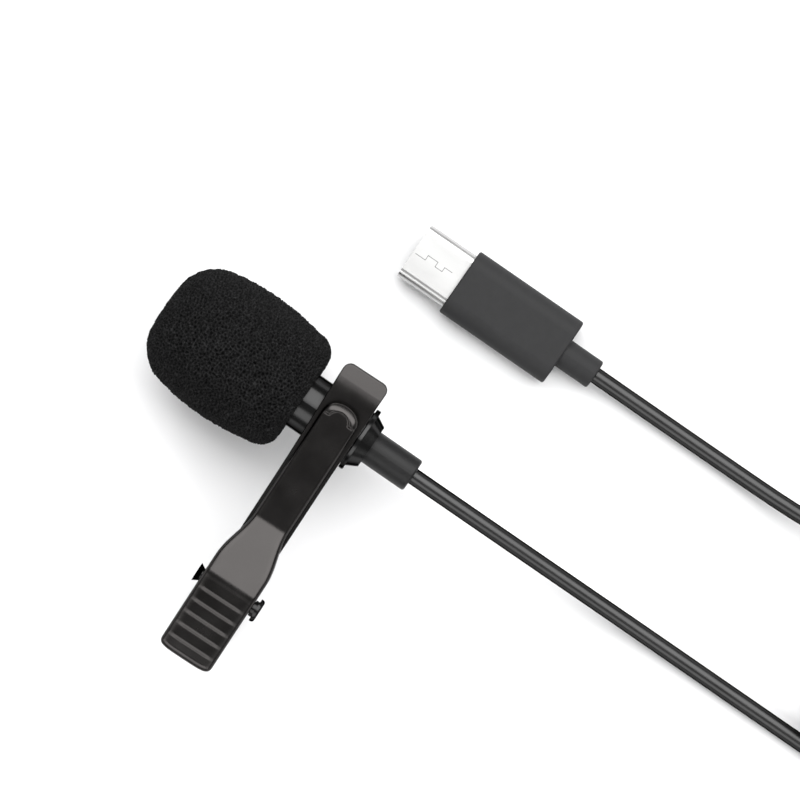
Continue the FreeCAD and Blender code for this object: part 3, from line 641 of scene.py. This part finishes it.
# ---- torsion spring -----------------------------------------------------------------------------
def tube_mesh(name, line, radius, sides=12):
    """Round wire along a line of points, with closed ends."""
    verts = []
    normal = None
    for i, point in enumerate(line):
        heading = (line[min(len(line) - 1, i + 1)] - line[max(0, i - 1)]).normalized()
        if normal is None:
            normal = heading.orthogonal().normalized()
        normal = (normal - heading * normal.dot(heading)).normalized()
        side = heading.cross(normal)
        for j in range(sides):
            turn = 2 * math.pi * j / sides
            verts.append(point + (normal * math.cos(turn) + side * math.sin(turn)) * radius)
    faces = ring_faces(len(line), sides)
    faces.append(tuple(range(sides)))
    faces.append(tuple(range((len(line) - 1) * sides, len(line) * sides)))
    return mesh_object(name, verts, faces)


SPRING_R = 1.75
SPRING_WIRE_R = 0.27
SPRING_TURNS = 4.5
SPRING_LEG = 9.3
SPRING_LEG_SLOPE = 38.0
SPRING_PITCH = 0.62
SPRING_POINTS = 130


def make_spring():
    """Torsion coil round the pin: one leg along each finger pad."""
    total = 2 * math.pi * (SPRING_TURNS - SPRING_LEG_SLOPE / 360)
    rise = SPRING_PITCH / (2 * math.pi)
    width = rise * total
    tilt = math.radians(SPRING_LEG_SLOPE)
    line = []
    for i in range(SPRING_POINTS + 1):
        turn = total * i / SPRING_POINTS
        line.append(Vector((rise * turn - width / 2, SPRING_R * math.sin(turn),
                            -SPRING_R * math.cos(turn))))
    first = Vector((0, -1, 0)) * SPRING_LEG
    last = Vector((0, math.cos(total), math.sin(total))) * SPRING_LEG
    line.insert(0, line[0] + first)
    line.append(line[-1] + last)
    turned = Matrix.Rotation(tilt, 4, "X")
    line = [CLIP_FRAME @ ((turned @ p) * MM + PIN_AT) for p in line]
    return tube_mesh("spring_wire", line, SPRING_WIRE_R * MM), width * MM


spring, spring_width = make_spring()
spring.data.materials.append(MATERIALS["spring_steel"])
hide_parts("torsion_spring")
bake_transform(spring)


# ---- plug shell's seam --------------------------------------------------------------------------
SEAM_WIDTH = 0.08
SEAM_PROUD = 0.012
# millimetres from the shell's tip and its axis
SEAM = [(0.4, -0.3), (1.96, -0.3), (1.96, 0.43), (3.55, 0.43), (3.55, -0.3), (4.7, -0.3),
        (4.7, 0.35), (5.9, 0.35)]
BOX_FACES = ((3, 2, 1, 0), (4, 5, 6, 7), (0, 1, 5, 4), (1, 2, 6, 5), (2, 3, 7, 6), (3, 0, 4, 7))


def make_seam():
    """Thin joint line where the rolled shell's edges lock together: a dark strip that paints the
    shadow in the seam's gap.
    """
    low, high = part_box("plug_shell")
    middle = (low[1] + high[1]) / 2
    verts = []
    faces = []
    half = SEAM_WIDTH / 2
    for (x0, y0), (x1, y1) in zip(SEAM, SEAM[1:]):
        left, right = min(x0, x1) - half, max(x0, x1) + half
        near, far = min(y0, y1) - half, max(y0, y1) + half
        start = len(verts)
        for z in (-SEAM_PROUD, SEAM_PROUD):
            verts += [(low[0] + x * MM, middle + y * MM, high[2] + z * MM)
                      for x, y in ((left, near), (right, near), (right, far), (left, far))]
        faces += [tuple(start + k for k in face) for face in BOX_FACES]
    return mesh_object("shell_seam", verts, faces, smooth=False)


seam = make_seam()
finish_piece(seam, "microphone", MATERIALS["seam_shadow"])


# ---- studio -------------------------------------------------------------------------------------
FLOOR_HALF = 1.5
WORLD_STRENGTH = 0.22


def make_floor():
    """Plain pale floor."""
    size = FLOOR_HALF
    corners = [(-size, -size, 0), (size, -size, 0), (size, size, 0), (-size, size, 0)]
    floor = mesh_object("floor", corners, [(0, 1, 2, 3)], smooth=False)
    pale = surface("floor", (0.8, 0.8, 0.804), 0.8, grain=2.0, depth=0.002, tone=0.005)
    floor.data.materials.append(pale)


def softbox(name, degrees, distance, width, length, radiance):
    """Area light over the microphone's axis, leaning degrees from straight up towards +Y."""
    light = bpy.data.lights.new(name, "AREA")
    light.shape = "RECTANGLE"
    light.size = length
    light.size_y = width
    light.energy = radiance * math.pi * width * length
    holder = bpy.data.objects.new(name, light)
    lean = math.radians(degrees)
    holder.location = (AXIS.x, AXIS.y + math.sin(lean) * distance, math.cos(lean) * distance)
    holder.rotation_euler = (-lean, 0, 0)
    bpy.context.scene.collection.objects.link(holder)


make_floor()
softbox("softbox_far", degrees=32.5, distance=0.7, width=0.71, length=1.6, radiance=4.0)
softbox("softbox_near", degrees=-47.0, distance=0.7, width=0.43, length=1.6, radiance=2.5)
world = bpy.data.worlds.new("studio")
world.use_nodes = True
world.node_tree.nodes["Background"].inputs["Color"].default_value = (1, 1, 1, 1)
world.node_tree.nodes["Background"].inputs["Strength"].default_value = WORLD_STRENGTH
bpy.context.scene.world = world
bpy.context.scene.view_settings.view_transform = "Standard"
